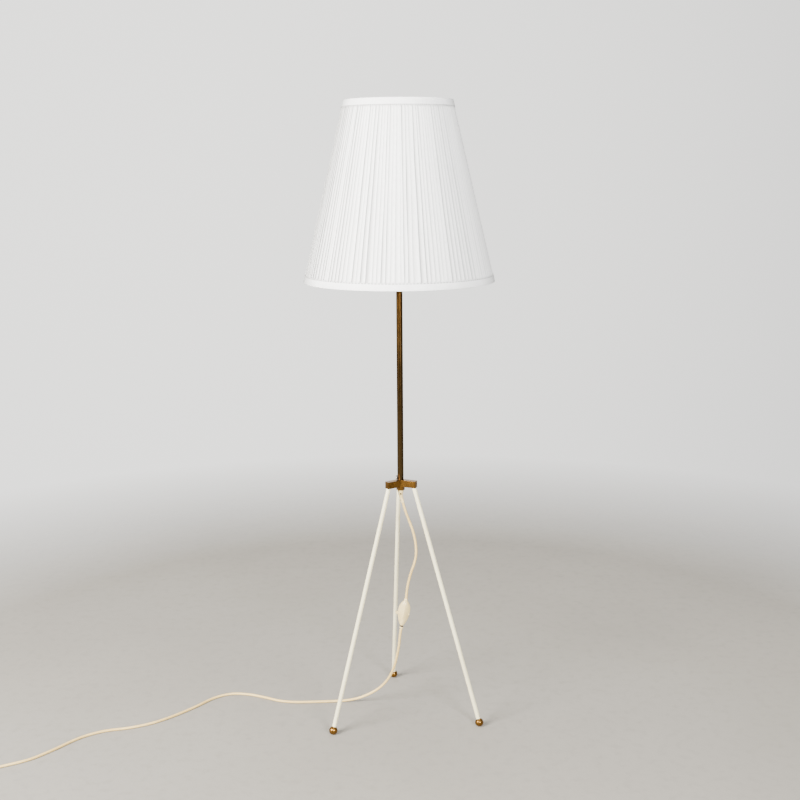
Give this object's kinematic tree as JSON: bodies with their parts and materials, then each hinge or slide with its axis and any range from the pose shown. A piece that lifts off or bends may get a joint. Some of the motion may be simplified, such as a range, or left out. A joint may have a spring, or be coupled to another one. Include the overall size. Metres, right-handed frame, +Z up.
{
  "type": "tripod floor lamp",
  "caption": "Floor lamp with splayed lacquered legs on ball feet, brass hub and pole, pleated cone shade, and a cord with an in-line switch and plug.",
  "frame": {"origin": "on the floor, on the pole axis", "axes": "+Z up along the pole, -Y towards the front as seen in the picture, +X to the right from there"},
  "size_m": [1.2297, 0.5161, 1.45],
  "materials": {
    "brass": "aged brass, softly polished, brown patina",
    "white_lacquer": "off-white lacquer, satin",
    "steel": "zinc-plated steel",
    "cream_plastic": "cream moulded plastic, satin",
    "cord_pvc": "cream round PVC flex",
    "bakelite": "black phenolic, gloss",
    "ceramic": "unglazed steatite",
    "nickel": "nickel-plated brass",
    "opal_glass": "opal white glass",
    "frame_wire": "white powder-coated steel wire",
    "pleated_fabric": "white pleated chiffon, translucent",
    "lining_fabric": "plain white lining cloth",
    "satin_trim": "white satin bias tape"
  },
  "bodies": {
    "stand": {"cord_coil": "cord_pvc", "cord_grip": "cream_plastic", "cord_grip_screw": "steel", "cord_lower": "cord_pvc", "cord_upper": "cord_pvc", "foot_ball_back": "brass", "foot_ball_left": "brass", "foot_ball_right": "brass", "holder_cap": "bakelite", "holder_centre_contact": "brass", "holder_insert": "ceramic", "holder_nipple": "steel", "holder_screw_shell": "nickel", "holder_sleeve": "bakelite", "hub_lock_nut": "brass", "hub_lock_washer": "brass", "hub_plate": "brass", "hub_spigot": "brass", "inner_flex": "cord_pvc", "leg_back": "white_lacquer", "leg_left": "white_lacquer", "leg_right": "white_lacquer", "leg_stud_back": "steel", "leg_stud_left": "steel", "leg_stud_right": "steel", "plug_body": "cream_plastic", "plug_pin_left": "nickel", "plug_pin_right": "nickel", "pole_set_screw": "steel", "pole_top_bushing": "brass", "pole_tube": "brass", "shade_ring_nut_lower": "bakelite", "shade_ring_nut_upper": "bakelite", "switch_contact_lower": "brass", "switch_contact_upper": "brass", "switch_screw_1": "steel", "switch_screw_2": "steel", "switch_shell_back": "cream_plastic", "switch_shell_front": "cream_plastic", "terminal_screw_live": "brass", "terminal_screw_neutral": "brass"},
    "shade": {"shade_cover": "pleated_fabric", "shade_lining": "lining_fabric", "shade_carrier": "frame_wire", "shade_top_ring": "frame_wire", "shade_bottom_ring": "frame_wire", "trim_band_top": "satin_trim", "trim_band_bottom": "satin_trim", "shade_rib_1": "frame_wire", "shade_rib_2": "frame_wire", "shade_rib_3": "frame_wire", "shade_rib_4": "frame_wire", "shade_rib_5": "frame_wire", "shade_rib_6": "frame_wire"},
    "bulb_foot": {"bulb_insulator": "bakelite", "bulb_contact_tip": "brass"},
    "bulb": {"bulb_glass": "opal_glass", "bulb_screw_cap": "nickel"},
    "push_bar": {"switch_push_bar": "cream_plastic", "switch_contact_bridge": "brass"}
  },
  "joints": [
    {"name": "shade_turn", "type": "hinge", "parent": "stand", "child": "shade", "pos_m": [0, 0, 1.2783], "axis": [0, 0, 1], "continuous": true},
    {"name": "bulb_lift", "type": "slide", "parent": "stand", "child": "bulb_foot", "axis": [0, 0, 1], "range_m": [0, 0.0128]},
    {"name": "bulb_turn", "type": "hinge", "parent": "bulb_foot", "child": "bulb", "pos_m": [0, 0, 1.2783], "axis": [0, 0, 1], "range_deg": [0, 1260]},
    {"name": "switch_slide", "type": "slide", "parent": "stand", "child": "push_bar", "axis": [0.9868, 0, -0.1621], "range_m": [0, 0.006]}
  ],
  "couplings": [
    {"joint": "bulb_lift", "follows": "bulb_turn", "m_per_rad": 0.00057757}
  ]
}
